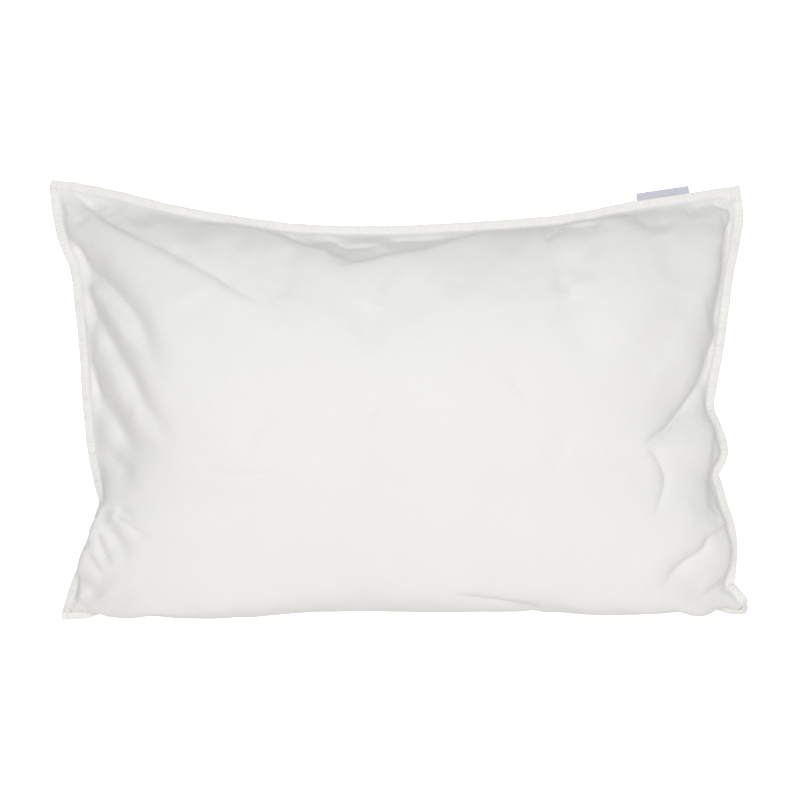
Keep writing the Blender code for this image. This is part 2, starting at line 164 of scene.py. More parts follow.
# Folds pressed into the front. A path's left and right are as seen when it is walked from its first point.
# They are half widths, and sharp is how steep the sides are. The depth is negative where the front stands up.
# A fold fades in and out over the shares start and end of its path.
Fold = namedtuple("Fold", "path depth left right sharp start end", defaults=(2.0, 0.15, 0.4))
FOLDS = (
    # the crease from the upper left corner
    Fold(((-336, 221), (-322, 209), (-307, 196), (-290, 184), (-273, 174), (-253, 163), (-232, 152)),
         9, 20, 5, 1.9, 0.3, 0.45),
    Fold(((-260, 166), (-233, 153), (-216, 144), (-194, 132), (-175, 121), (-155, 108), (-135, 98),
          (-120, 92)), 5, 13, 5, 1.7, 0.2, 0.35),
    # the terraces down from the left edge, and the raised edges between them
    Fold(((-339, 157), (-327, 144), (-310, 127), (-292, 114), (-277, 99), (-264, 84), (-255, 69),
          (-246, 50), (-239, 34), (-233, 17)), 14, 12, 11, 1.8, 0.1, 0.5),
    Fold(((-330, 142), (-313, 121), (-297, 104), (-280, 82), (-265, 59), (-256, 38)),
         -3, 8, 9, 1.8, 0.2, 0.5),
    Fold(((-331, 122), (-324, 112), (-311, 95), (-298, 73), (-285, 53), (-272, 32), (-261, 10),
          (-251, -6), (-239, -21), (-228, -40), (-223, -54)), 11, 10, 11, 1.7, 0.1, 0.4),
    Fold(((-324, 102), (-310, 80), (-299, 59), (-288, 38), (-274, 17), (-261, -2)),
         -2.5, 6, 8, 1.8, 0.2, 0.5),
    Fold(((-322, 36), (-316, 25), (-309, 14), (-296, -3), (-285, -19), (-274, -38), (-265, -53),
          (-258, -64)), 10, 12, 9, 1.8, 0.15, 0.35),
    Fold(((-310, 12), (-297, -9), (-285, -28), (-272, -49), (-258, -69), (-247, -81)),
         -2, 6, 8, 1.8, 0.15, 0.4),
    Fold(((-293, -44), (-287, -53), (-279, -62), (-270, -70), (-261, -78)), 6, 9, 9, 1.8, 0.35, 0.4),
    # the gap beside the left strip
    Fold(((-314, 80), (-313, 67), (-311, 50), (-309, 30), (-307, 12)), 5, 3.5, 3, 1.5, 0.3, 0.3),
    # the fan below the pinch in the left edge
    Fold(((-300, -105), (-296, -116), (-291, -124), (-285, -133), (-278, -142), (-271, -151),
          (-264, -158)), 8, 7, 9, 1.6, 0.12, 0.45),
    Fold(((-304, -127), (-301, -138), (-297, -148), (-291, -158), (-284, -166)), 5, 5, 7, 1.6, 0.2, 0.4),
    Fold(((-314, -147), (-308, -158), (-300, -168), (-290, -176)), 3, 4, 6, 1.7, 0.25, 0.4),
    Fold(((-283, -103), (-272, -110), (-259, -119)), 2, 3.5, 5, 1.8, 0.3, 0.4),
    Fold(((-332, -196), (-322, -202), (-309, -208)), 2, 3.5, 4, 1.8, 0.3, 0.4),
    Fold(((-326, -170), (-321, -177), (-314, -184), (-305, -191), (-296, -197)),
         4, 8, 10, 1.8, 0.25, 0.4),
    Fold(((-286, -111), (-274, -120), (-260, -129), (-246, -136)), 3, 4, 6, 1.6, 0.2, 0.4),
    # the loose pocket under the upper edge: the front stands up below it, and creases run along it
    Fold(((-235, 196), (-220, 191), (-205, 186), (-190, 181), (-175, 176), (-160, 172)),
         5, 4, 3, 1.4, 0.3, 0.25),
    Fold(((-210, 185), (-188, 180), (-172, 176), (-157, 171), (-142, 167), (-128, 162), (-115, 157),
          (-100, 152), (-80, 145), (-60, 137), (-48, 132), (-34, 135), (-16, 139), (4, 142), (24, 146),
          (46, 152), (66, 157), (90, 163), (120, 167), (160, 171), (200, 175), (240, 181), (272, 188)),
         -11, 7, 32, 1.9, 0.1, 0.15),
    Fold(((-172, 179), (-157, 175), (-142, 170), (-128, 166), (-115, 161), (-100, 156), (-80, 151),
          (-62, 145)), 5, 6, 3, 1.5, 0.15, 0.3),
    Fold(((-55, 133), (-44, 136), (-28, 140), (-13, 144), (0, 146), (12, 148), (25, 150), (36, 154),
          (46, 158), (57, 162), (70, 164), (83, 166), (98, 169)), 5, 6, 3, 1.5, 0.15, 0.2),
    Fold(((-124, 175), (-115, 170), (-108, 165), (-97, 160), (-82, 159), (-68, 160)),
         5, 4, 5, 1.4, 0.2, 0.4),
    Fold(((-97, 172), (-85, 169), (-75, 165), (-65, 161), (-55, 156), (-38, 155), (-22, 156), (-8, 157)),
         6, 4, 7, 1.4, 0.2, 0.3),
    Fold(((-70, 152), (-60, 144), (-53, 136), (-50, 129)), 4, 9, 9, 1.8, 0.3, 0.3),
    Fold(((-15, 159), (0, 161), (23, 162), (45, 164), (58, 166)), 4, 3.5, 4, 1.4, 0.2, 0.3),
    Fold(((83, 166), (97, 171), (110, 173), (123, 174), (135, 172), (148, 170), (162, 170), (180, 171),
          (200, 171), (214, 166)), 6, 5, 9, 1.5, 0.12, 0.2),
    Fold(((158, 168), (149, 161), (141, 155)), 3.5, 4, 4, 1.5),
    Fold(((230, 190), (234, 183), (241, 177), (249, 174), (258, 175), (268, 179), (280, 181)),
         4.5, 9, 6, 1.6, 0.2, 0.4),
    # the tuck by the upper right corner
    Fold(((284, 186), (291, 192), (300, 196), (314, 196)), 2.5, 5, 6, 1.6),
    Fold(((311, 200), (319, 196), (328, 193), (332, 187), (332, 176)), 3, 4, 3.5, 1.5),
    # the gap beside the right strip, and the front that stands up along it
    Fold(((326, 170), (321, 147), (318, 125), (314, 102), (312, 84), (308, 64)),
         5, 14, 4, 1.8, 0.2, 0.25),
    Fold(((322, 180), (317, 154), (316, 127), (312, 102), (306, 80)), -5, 6, 24, 1.8, 0.2, 0.3),
    Fold(((313, 62), (310, 27), (308, -13), (306, -48), (304, -78), (308, -113)),
         -5, 6, 24, 1.8, 0.25, 0.3),
    Fold(((314, -28), (313, -43), (312, -73), (315, -106), (319, -136)), 4, 5, 22, 1.8, 0.3, 0.25),
    # the deep line inside the right strip, the long hooked crease that it runs into, and the hook's end
    Fold(((332, 188), (329, 177), (326, 165), (325, 154), (328, 142), (329, 134), (327, 122), (324, 109),
          (323, 95), (321, 79), (318, 64), (313, 52), (307, 39), (300, 22), (293, 9), (285, -3),
          (274, -15), (264, -26), (253, -33), (245, -39), (240, -47)), 9, 3.5, 3.5, 1.4, 0.08, 0.12),
    Fold(((328, 89), (322, 61), (311, 38), (303, 21), (289, -4), (268, -27), (249, -40), (240, -51)),
         5, 9, 11, 1.6, 0.25, 0.25),
    Fold(((243, -44), (251, -52), (257, -61), (262, -73), (261, -86), (257, -98), (254, -108),
          (255, -117)), 3.5, 9, 3.5, 1.6, 0.15, 0.35),
    # soft folds on their way to it
    Fold(((312, 147), (290, 99), (273, 84), (253, 47), (237, 27), (212, -18)), 2.5, 14, 28),
    Fold(((260, 166), (265, 142), (268, 112)), 1.6, 13, 13),
    # drawn from the lower right corner
    Fold(((302, -101), (288, -121), (275, -139), (263, -153), (245, -167), (229, -180)), -2, 13, 15),
    Fold(((335, -116), (329, -122), (318, -130), (307, -137), (300, -148), (286, -157), (273, -167),
          (266, -176), (254, -184)), 5, 10, 4, 1.6, 0.15, 0.35),
    # along the bottom
    Fold(((48, -191), (76, -195), (103, -199), (126, -203), (147, -209)), 4, 3.5, 9, 1.7, 0.3, 0.15),
    # soft dents in the middle, and a faint line
    Fold(((-124, -3), (-134, -18), (-144, -32), (-155, -56)), 2.8, 7, 13, 1.8, 0.35, 0.4),
    Fold(((-15, 27), (-23, 6), (-31, -18), (-40, -48)), 3.4, 7, 14, 1.8, 0.35, 0.4),
    Fold(((100, 34), (111, 22), (122, 7), (128, -10)), 3.2, 14, 7, 1.8, 0.35, 0.4),
    Fold(((170, -23), (160, -48), (150, -73)), 2.8, 8, 16),
    Fold(((156, 106), (172, 80), (185, 56), (196, 20)), 4, 30, 20),
    Fold(((-214, 102), (-190, 57), (-178, 10)), 1.8, 20, 26),
    Fold(((-200, -71), (-160, -72), (-115, -70)), 1, 4, 2.5, 2, 0.3, 0.3),
)
PATH_STEPS = 64
FOLD_REACH = 3  # in half widths: past this a fold presses next to nothing
NARROW = ((5, 1.9), (4, 1.2))  # cells are cut by folds up to this narrow, out to so many half widths
MOSTLY_FRONT = 0.5  # the panel layer is 1 on the front and -1 on the back
LEAST_LEAN = 0.2  # a normal plus the upward direction counts as this long at least, to spare overhangs
BROAD_BUMPS, SMALL_BUMPS, SMALL_SHARE = 34, 15, 0.6  # the crumple: widths, and the smaller ones' height
BROAD_SEED, SMALL_SEED, GATHER_SEED = 3, 7, 11

# The gathers that the sewing draws into the front beside its strips, from and to these shares of an edge
Gathers = namedtuple("Gathers", "edge start end depth spacing reach")
GATHERS = (
    Gathers("top", 0.0, 0.24, 0.55, 8.5, 13),
    Gathers("top", 0.2, 1.0, 0.3, 11, 9),
    Gathers("left", 0.72, 1.0, 0.4, 9, 10),
    Gathers("left", 0.0, 0.75, 0.25, 12, 8),
    Gathers("right", 0.08, 0.24, 0.45, 5.5, 11),
    Gathers("right", 0.3, 1.0, 0.3, 9, 8),
    Gathers("bottom", 0.0, 1.0, 0.3, 13, 10),
)
GATHER_FADE = 0.03  # of an edge
GATHER_RISE = 3  # from the seam to where they have their whole depth
GATHER_DRIFT = 6  # in radians: how unevenly they follow each other
DRIFT_ALONG, DRIFT_IN, STRENGTH_SWING = 31, 40, 19  # how soon their spacing and their strength change
GATHER_REACH = 3  # in reaches: past this there is next to nothing of them

# The strips: their section, and where they meet
STRIP_ROWS = 9  # of mesh across a strip's flat part
SLOT_ROOM = 0.25  # between the allowance and the strip's inside
RIB_DRIFT, RIB_WEAKEST = 7, 0.15  # how unevenly the ribs follow each other (radians), and the weakest one
SWINGS = {"drift": 13, "strength": 11, "waver": 14}  # how soon the ribs and the edge change along the strip
RIB_PULL = 0.35  # how far a rib draws the folded edge in, as a share of its depth
SEED_STEP = 3.7  # between the noise of one strip and the next
TUCKED = 7  # how far the side strips run on, past where they meet the others
LAPPED = 0.9  # and how much lower or higher they lie there
OPENED_FROM, OPENED = 26, 0.95  # the top strip's right end opens out: over what length, and how much wider
OPENED_LIFT = 1.6  # and how much higher its inner edge lies then
PLEATED_FROM, PLEATS, PLEAT_DEPTH = 30, 3.1, 0.8  # the turned-up end: length, spacing and depth of its pleats
THREAD_SIDES, STEPS_A_STITCH = 5, 7
DIVE, DIVE_SHARP = 1.6, 6  # how many of its thicknesses the thread dives, and how suddenly

# The label
LABEL_FROM, LABEL_STEP = 0.86, 1.5  # of the top edge; between its rows of mesh
LABEL_HIDDEN, LABEL_DROP = 4, 0.5  # it starts this far out from the seam, and this far below the strip
LABEL_LAYER = 0.42  # of its thickness
LABEL_WAVE, LABEL_SWING = 0.35, 9  # how high and how long its waves are

# The stage, in metres
FLOOR_HALF, FLOOR_DROP = 8, 0.0005
KEY_AT, KEY_SIZE = (0.0, 0.2, 3.4), 1.6
BOUNCE_AT, BOUNCE_SIZE = (0.1, -2.4, 0.8), 1.4
SENSOR = 36  # mm
SEAM_LEVEL = 0.045  # where the view is as wide as its setting says
VIEW_MIDDLE = 2  # mm: the middle of the view, up from the zero of the tables

MIX_A, MIX_B, MIXED = 6, 7, 2  # the colour sockets of a Mix node


def linear(code):
    """An sRGB hex colour as the linear RGB that Blender works in."""
    parts = [int(code[i : i + 2], 16) / 255 for i in (1, 3, 5)]
    return [part / 12.92 if part <= 0.04045 else ((part + 0.055) / 1.055) ** 2.4 for part in parts]


def ease(t):
    """0 below 0, 1 above 1, and smooth between."""
    t = np.clip(t, 0, 1)
    return t * t * (3 - 2 * t)


def spread(t):
    """0..1 to 0..1, with steps that shorten towards both ends."""
    return (1 - CROWDED) * t + CROWDED * (1 - np.cos(pi * t)) / 2


def curve_through(rows):
    """A function of 0..1 that runs smoothly through the rows, and straight on past both ends."""
    rows = np.array(rows, float)
    steps = np.linalg.norm(np.diff(rows[:, :3], axis=0), axis=1)
    at = np.concatenate([[0], np.cumsum(steps)]) / steps.sum()
    slope = np.gradient(rows, at, axis=0)

    def value(s):
        s = np.asarray(s, float)[:, None]
        inside = np.clip(s, 0, 1)
        k = np.clip(np.searchsorted(at, inside[:, 0], side="right") - 1, 0, len(at) - 2)
        span = (at[k + 1] - at[k])[:, None]
        t = (inside - at[k][:, None]) / span
        rise = t * t * (3 - 2 * t)
        curved = rows[k] * (1 - rise) + rows[k + 1] * rise
        curved = curved + span * (slope[k] * t * (1 - t) ** 2 + slope[k + 1] * t * t * (t - 1))
        return curved + np.where(s < 0, slope[0], slope[-1]) * (s - inside)

    return value


SEAM_AT = {
    name: curve_through((CORNERS[first], *SEAMS[name], CORNERS[last]))
    for name, (first, last) in ENDS.items()
}


def length_of(name):
    """How long an edge is along its seam."""
    points = SEAM_AT[name](np.linspace(0, 1, 101))[:, :3]
    return np.linalg.norm(np.diff(points, axis=0), axis=1).sum()


SIDE = {name: length_of(name) for name in SEAMS}
LONG_SIDE, SHORT_SIDE = SIDE["top"], SIDE["left"]


def outward_of(name, s):
    """The level direction out of the case, square to the seam."""
    run = SEAM_AT[name](s + RUN_STEP) - SEAM_AT[name](s - RUN_STEP)
    outward = np.column_stack([-run[:, 1], run[:, 0], np.zeros(len(run))]) * OUTWARD_TURN[name]
    return outward / np.linalg.norm(outward, axis=1)[:, None]


def drooped(points, level, droop):
    """Frames: the seam's points, the way the allowance points, and its upper side."""
    droop = np.radians(droop)[:, None]
    return points, level * np.cos(droop) - UP * np.sin(droop), level * np.sin(droop) + UP * np.cos(droop)


def frames_along(name, s):
    """The frames at places s of an edge."""
    rows = SEAM_AT[name](s)
    return drooped(rows[:, :3], outward_of(name, s), rows[:, 3])


def patch(u, v):
    """The surface that the seam loop spans, blended from its four edges."""
    u, v = u[:, None], v[:, None]
    bottom, top = (SEAM_AT[name](u[:, 0])[:, :3] for name in ("bottom", "top"))
    left, right = (SEAM_AT[name](v[:, 0])[:, :3] for name in ("left", "right"))
    corner = {name: np.array(row[:3], float) for name, row in CORNERS.items()}
    low = corner["lower_left"] * (1 - u) + corner["lower_right"] * u
    high = corner["upper_left"] * (1 - u) + corner["upper_right"] * u
    return bottom * (1 - v) + top * v + left * (1 - u) + right * u - low * (1 - v) - high * v


def edge_distances(u, v):
    """How far in from each edge, along the cloth."""
    return {
        "bottom": v * SHORT_SIDE,
        "top": (1 - v) * SHORT_SIDE,
        "left": u * LONG_SIDE,
        "right": (1 - u) * LONG_SIDE,
    }


def front_surface(u, v, crown):
    """The filled front without its folds: the crown, and the lower edges carried out over their seams."""
    along = np.abs(2 * u - 1)
    upright = np.abs(v - CROWN_AT) / np.where(v < CROWN_AT, CROWN_AT, 1 - CROWN_AT)
    full_along = np.maximum(0, 1 - along**ALONG_ROUND) ** ALONG_RISE
    full_upright = np.maximum(0, 1 - upright**UPRIGHT_ROUND) ** UPRIGHT_RISE
    points = patch(u, v) + UP * (crown * full_along * full_upright)[:, None]
    for name, distance in edge_distances(u, v).items():
        s = u if name in ("bottom", "top") else v
        t = distance / BULGE_AT
        carry = CARRY_GAIN * SEAM_AT[name](s)[:, 4] * t * np.exp(1 - t)
        points = points + outward_of(name, s) * carry[:, None]
    return points


def back_surface(u, v):
    """The underside: from the seams it turns down to the flat patch that the case rests on."""
    points = patch(u, v)
    down = np.ones(len(points))
    for name, distance in edge_distances(u, v).items():
        t = np.minimum(1, distance / BACK_TURN[name])
        down *= (1 - (1 - t) ** BACK_ROUND) ** BACK_RISE
    points[:, 2] *= 1 - down
    return points


def lip_frame(u, v):
    """For a point of the panels' rim: the seam's point, its upper side, and the allowance's edge from it."""
    on_edges = {"bottom": (u, v == 0), "top": (u, v == 1), "left": (v, u == 0), "right": (v, u == 1)}
    edges = [(name, s) for name, (s, here) in on_edges.items() if here]
    frames = [[part[0] for part in frames_along(name, np.array([s]))] for name, s in edges]
    pointing = sum(frame[1] for frame in frames)
    pointing = pointing / np.linalg.norm(pointing)
    upper = sum(frame[2] for frame in frames)
    upper = upper - pointing * (upper @ pointing)
    return frames[0][0], upper / np.linalg.norm(upper), pointing * LIP_REACH


def points_of(mesh):
    """The places of its vertices, as an array with a row for each."""
    flat = np.empty(len(mesh.vertices) * 3)
    mesh.vertices.foreach_get("co", flat)
    return flat.reshape(-1, 3)


def set_points(mesh, points):
    """Moves its vertices to the points."""
    mesh.vertices.foreach_set("co", points.ravel())
    mesh.update()


def new_piece(name, bm, material, nodes):
    """The bmesh, in millimetres of the tables, as a finished piece in the frame."""
    bmesh.ops.recalc_face_normals(bm, faces=bm.faces)
    bmesh.ops.translate(bm, vec=OUTLINE_SHIFT, verts=bm.verts)
    bmesh.ops.scale(bm, vec=(MM, MM, MM), verts=bm.verts)
    mesh = bpy.data.meshes.new(name)
    bm.to_mesh(mesh)
    bm.free()
    mesh.materials.append(material)
    mesh.shade_smooth()
    piece = bpy.data.objects.new(name, mesh)
    bpy.context.scene.collection.objects.link(piece)
    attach(piece, "root")
    if nodes:
        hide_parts(*nodes)
    return piece


def add_panel(bm, cells_along, cells_upright, surface, side, layers):
    """One panel as a grid with its allowance round the rim. Gives the allowance's outer edges.

    The faces are made in the grid's own order, so that the simulation comes out the same each run.
    """
    grid = bmesh.ops.create_grid(bm, x_segments=cells_along, y_segments=cells_upright, size=0.5)
    at = np.array([vert.co for vert in grid["verts"]])
    u = spread(np.round((at[:, 0] + 0.5) * cells_along) / cells_along)
    v = spread(np.round((at[:, 1] + 0.5) * cells_upright) / cells_upright)
    points = surface(u, v)
    panel, along, upright, cloth = layers
    place = {}
    outer = {}
    for i, vert in enumerate(grid["verts"]):
        vert[panel], vert[along], vert[upright] = side, u[i], v[i]
        place[vert] = u[i] * LONG_SIDE * MM, v[i] * SHORT_SIDE * MM
        if vert.is_boundary:
            point, upper, reach = lip_frame(u[i], v[i])
            vert.co = point + upper * side * LIP_THICK / 2
            outer[vert] = bm.verts.new(vert.co + Vector(reach), vert)
            place[outer[vert]] = place[vert]
        else:
            vert.co = points[i]
    for edge in [edge for edge in bm.edges if edge.is_boundary and edge.verts[0] in outer]:
        loop = edge.link_loops[0]
        first, last = loop.link_loop_next.vert, loop.vert
        bm.faces.new((first, last, outer[last], outer[first]))
    for vert, spot in place.items():
        for loop in vert.link_loops:
            loop[cloth].uv = spot
    made = set(outer.values())
    return [edge for edge in bm.edges if edge.is_boundary and made.issuperset(edge.verts)]


def fill_with_pressure(piece, held, settings):
    """Swells the piece as cloth with a little slack, no point further than the cap. Held points stay."""
    start = points_of(piece.data)
    group = piece.vertex_groups.new(name="held")
    for index in np.nonzero(held)[0]:
        group.add([int(index)], 1, "REPLACE")
    cloth = piece.modifiers.new("fill", "CLOTH")
    cloth.settings.quality = settings.steps
    cloth.settings.vertex_group_mass = group.name
    cloth.settings.use_pressure = True
    cloth.settings.uniform_pressure_force = settings.pressure
    cloth.settings.shrink_min = -settings.slack
    cloth.settings.effector_weights.gravity = 0
    cloth.settings.tension_stiffness = cloth.settings.compression_stiffness = STRETCH_STIFF
    cloth.settings.shear_stiffness = SHEAR_STIFF
    cloth.settings.bending_stiffness = settings.bending
    cloth.collision_settings.use_collision = False
    scene = bpy.context.scene
    for number in range(1, settings.frames + 1):
        scene.frame_set(number)
    swollen = points_of(piece.evaluated_get(bpy.context.evaluated_depsgraph_get()).data)
    scene.frame_set(1)
    piece.modifiers.remove(cloth)
    piece.vertex_groups.remove(group)
    shift = swollen - start
    far = np.linalg.norm(shift, axis=1)
    shift *= (settings.cap * np.tanh(far / settings.cap) / np.maximum(far, TINY))[:, None]
    moved = start + shift
    moved[:, 2] = np.maximum(moved[:, 2], np.minimum(start[:, 2], 0))
    set_points(piece.data, moved)


def subdivide(piece, levels):
    """Adds the subdivision and keeps its result as the mesh."""
    smooth = piece.modifiers.new("smooth", "SUBSURF")
    smooth.levels = smooth.render_levels = levels
    made = bpy.data.meshes.new_from_object(piece.evaluated_get(bpy.context.evaluated_depsgraph_get()))
    piece.modifiers.remove(smooth)
    old = piece.data
    piece.data = made
    bpy.data.meshes.remove(old)
    made.name = piece.name


def beside(fold, xy):
    """For the points by a fold: which they are, their distance, to which side, and how far along it."""
    line = curve_through(fold.path)(np.linspace(0, 1, PATH_STEPS))
    reach = FOLD_REACH * max(fold.left, fold.right)
    near = np.nonzero(
        (xy > line.min(axis=0) - reach).all(axis=1) & (xy < line.max(axis=0) + reach).all(axis=1)
    )[0]
    spot = xy[near]
    start, run = line[:-1], np.diff(line, axis=0)
    t = ((spot[:, None] - start) * run).sum(axis=2) / (run * run).sum(axis=1)
    t = np.clip(t, 0, 1)
    away = spot[:, None] - (start + run * t[:, :, None])
    gap = np.hypot(away[:, :, 0], away[:, :, 1])
    nearest = gap.argmin(axis=1)
    rows = np.arange(len(spot))
    gap, away, run = gap[rows, nearest], away[rows, nearest], run[nearest]
    along = (nearest + t[rows, nearest]) / (PATH_STEPS - 1)
    side = run[:, 0] * away[:, 1] - run[:, 1] * away[:, 0]
    lean = side / np.maximum(gap * np.hypot(run[:, 0], run[:, 1]), TINY)
    return near, gap, lean, along


def fold_depths(xy):
    """How far all the folds press each point in."""
    depth = np.zeros(len(xy))
    for fold in FOLDS:
        near, gap, lean, along = beside(fold, xy)
        width = fold.right + (fold.left - fold.right) * (0.5 + 0.5 * lean)
        fade = ease(along / fold.start) * ease((1 - along) / fold.end)
        depth[near] += fold.depth * fade * np.exp(-((gap / width) ** fold.sharp))
    return depth


def refine(piece, narrow, times):
    """Cuts the front's cells beside the folds that are no wider than narrow, out to so many half widths."""
    bm = bmesh.new()
    bm.from_mesh(piece.data)
    panel = bm.verts.layers.float["panel"]
    xy = points_of(piece.data)[:, :2] / MM - OUTLINE_SHIFT[:2]
    fine = np.zeros(len(xy), bool)
    for fold in FOLDS:
        width = min(fold.left, fold.right)
        if width <= narrow:
            near, gap, _, _ = beside(fold, xy)
            fine[near[gap < width * times]] = True
    edges = [edge for edge in bm.edges if all(fine[vert.index] for vert in edge.verts)]
    edges = [edge for edge in edges if all(vert[panel] > MOSTLY_FRONT for vert in edge.verts)]
    bmesh.ops.subdivide_edges(bm, edges=edges, cuts=1, use_grid_fill=True)
    bm.to_mesh(piece.data)
    bm.free()


def wander(places, swing, seed, row):
    """Smooth noise along an edge, with swings about as long as said."""
    return np.array([noise.noise(Vector((place / swing, seed, row))) for place in places])


def gathered(u, v):
    """The height of the small gathers beside the strips."""
    height = np.zeros(len(u))
    distances = edge_distances(u, v)
    for seed, row in enumerate(GATHERS, GATHER_SEED):
        s = u if row.edge in ("bottom", "top") else v
        near = (distances[row.edge] < GATHER_REACH * row.reach) & (s > row.start) & (s < row.end)
        s, along, distance = s[near], s[near] * SIDE[row.edge], distances[row.edge][near]
        places = zip(along / DRIFT_ALONG, distance / DRIFT_IN)
        drift = [noise.noise(Vector((*place, seed))) for place in places]
        strength = np.maximum(0, 0.7 + wander(along, STRENGTH_SWING, seed, 4))
        ends = ease((s - row.start) / GATHER_FADE) * ease((row.end - s) / GATHER_FADE)
        wave = np.sin(2 * pi * along / row.spacing + GATHER_DRIFT * np.array(drift)) * strength
        height[near] += row.depth * wave * ends * ease(distance / GATHER_RISE) * np.exp(-distance / row.reach)
    return height


def crumple(points, width, seed):
    """Smooth noise between about -1 and 1, with bumps about as wide as said."""
    return np.array([noise.noise(Vector(point) / width + Vector((seed, 0, 0))) for point in points])


def add_node(tree, kind, inputs=(), **settings):
    """One node with its settings. An input takes a value, or the socket that feeds it."""
    node = tree.nodes.new(kind)
    for name, value in settings.items():
        setattr(node, name, value)
    for name, value in dict(inputs).items():
        if isinstance(value, bpy.types.NodeSocket):
            tree.links.new(value, node.inputs[name])
        else:
            node.inputs[name].default_value = value
    return node


def new_material(name):
    """An empty material with its Principled shader."""
    material = bpy.data.materials.new(name)
    material.use_nodes = True
    return material, material.node_tree, material.node_tree.nodes["Principled BSDF"]


def cloth_place(tree):
    """The cloth's own flat coordinates, in metres."""
    return add_node(tree, "ShaderNodeUVMap", uv_map="cloth").outputs["UV"]


def noise_over(tree, place, scale, detail, distortion=0.0):
    """Uneven patches, about half as wide as one through the scale, in metres."""
    inputs = {"Vector": place, "Scale": scale, "Detail": detail, "Distortion": distortion}
    return add_node(tree, "ShaderNodeTexNoise", inputs).outputs["Fac"]


def bands_over(tree, place, direction, scale, distortion):
    """Parallel bands, 0.314 through the scale apart, in metres."""
    inputs = {"Vector": place, "Scale": scale, "Distortion": distortion}
    return add_node(tree, "ShaderNodeTexWave", inputs, bands_direction=direction).outputs["Fac"]


def mottle(tree, shader, unevenness, settings):
    """Colours the cloth between its two shades."""
    inputs = {"Factor": unevenness, MIX_A: (*settings.shade, 1), MIX_B: (*settings.colour, 1)}
    colour = add_node(tree, "ShaderNodeMix", inputs, data_type="RGBA")
    tree.links.new(colour.outputs[MIXED], shader.inputs["Base Color"])


def emboss(tree, shader, *reliefs):
    """Bumps laid over each other, each with its height, its depth in metres and its strength."""
    under = {}
    for height, distance, strength in reliefs:
        inputs = {"Height": height, "Distance": distance, "Strength": strength, **under}
        under = {"Normal": add_node(tree, "ShaderNodeBump", inputs).outputs[0]}
    tree.links.new(under["Normal"], shader.inputs["Normal"])


def set_matt_cotton(shader, roughness):
    """Soft light at grazing angles, as from cotton's loose fibres."""
    shader.inputs["Roughness"].default_value = roughness
    shader.inputs["Specular IOR Level"].default_value = 0.25
    shader.inputs["Sheen Weight"].default_value = 0.12
    shader.inputs["Sheen Roughness"].default_value = 0.5


def washed_percale(settings):
    """Plain-woven white cotton, washed and not ironed: matt, with a faint crumple all over and soft edges."""
    material, tree, shader = new_material("washed_percale")
    place = cloth_place(tree)
    mottle(tree, shader, noise_over(tree, place, 9.0, 3.0), settings)  # patches about 60 mm wide
    wide = noise_over(tree, place, 60.0, 4.0, 0.6)  # creases about 8 mm wide
    fine = noise_over(tree, place, 240.0, 3.0)  # and 2 mm wide
    # threads 0.3 mm apart, drawn 1.8 mm apart so that a near view shows them
    warp, weft = (bands_over(tree, place, direction, 175.0, 1.5) for direction in "XY")
    weave = add_node(tree, "ShaderNodeMath", {0: warp, 1: weft}, operation="MULTIPLY").outputs[0]
    emboss(tree, shader, (weave, 0.0001, 0.25), (fine, 0.0006, 0.35), (wide, 0.002, 0.3))
    set_matt_cotton(shader, 0.88)
    return material


def folded_cotton(settings):
    """The same cotton in several layers: a closer surface, a little creamier."""
    material, tree, shader = new_material("folded_cotton")
    place = cloth_place(tree)
    mottle(tree, shader, noise_over(tree, place, 60.0, 3.0), settings)  # patches about 8 mm wide
    fine = noise_over(tree, place, 420.0, 3.0)  # puckers about 1 mm wide
    emboss(tree, shader, (fine, 0.0005, 0.4))
    set_matt_cotton(shader, 0.85)
    return material


def woven_satin(settings):
    """Narrow polyester label tape in satin weave: smooth, with a soft gloss along its fine ribs."""
    material, tree, shader = new_material("woven_satin")
    place = cloth_place(tree)
    mottle(tree, shader, noise_over(tree, place, 120.0, 2.0), settings)  # patches about 4 mm wide
    # ribs 0.25 mm apart, drawn 1.6 mm apart so that a near view shows them
    emboss(tree, shader, (bands_over(tree, place, "Y", 200.0, 0.8), 0.0002, 0.4))
    shader.inputs["Roughness"].default_value = 0.5
    shader.inputs["Sheen Weight"].default_value = 0.1
    return material


def lit_board(settings):
    """A plain white board that gives off an even light of its own, so that it shows white all over."""
    material, _, shader = new_material("lit_white_board")
    shader.inputs["Base Color"].default_value = (*settings.floor_colour, 1)
    shader.inputs["Roughness"].default_value = 0.9
    shader.inputs["Specular IOR Level"].default_value = 0.0
    shader.inputs["Emission Color"].default_value = (1, 1, 1, 1)
    shader.inputs["Emission Strength"].default_value = settings.floor_glow
    return material


def strip_section(settings):
    """Round the seam allowance: (outwards from the seam, above the allowance, share of the ribs' depth).

    It runs from the folded-in edge over the stitch line to the outer fold, and back along the lower face.
    """
    inner, outer = settings.inner / MM, settings.outer / MM
    half, slot = settings.thickness / MM / 2, LIP_THICK / 2 + SLOT_ROOM
    stitch = inner + settings.stitch_in / MM
    flat_part = np.linspace(stitch + 1.0, outer - 1.1, STRIP_ROWS)
    upper = (
        (inner + 0.5, slot, 0.0),
        (inner, (slot + half) / 2, 0.3),
        (inner + 0.35, half * 0.97, 0.7),
        (stitch - 0.55, half, 0.9),
        (stitch, half - settings.stitch_sink / MM, 1.0),
        (stitch + 0.5, half * 0.98, 1.0),
        *((out, half * 1.08, 0.8) for out in flat_part),
        (outer - 0.4, half * 0.75, 0.5),
        (outer - 0.1, half * 0.4, 0.4),
    )
    lower = tuple((out, -above, share) for out, above, share in reversed(upper))
    return np.array(upper + ((outer, 0.0, 0.4),) + lower + ((outer - 1, -slot, 0.0), (outer - 1, slot, 0.0)))


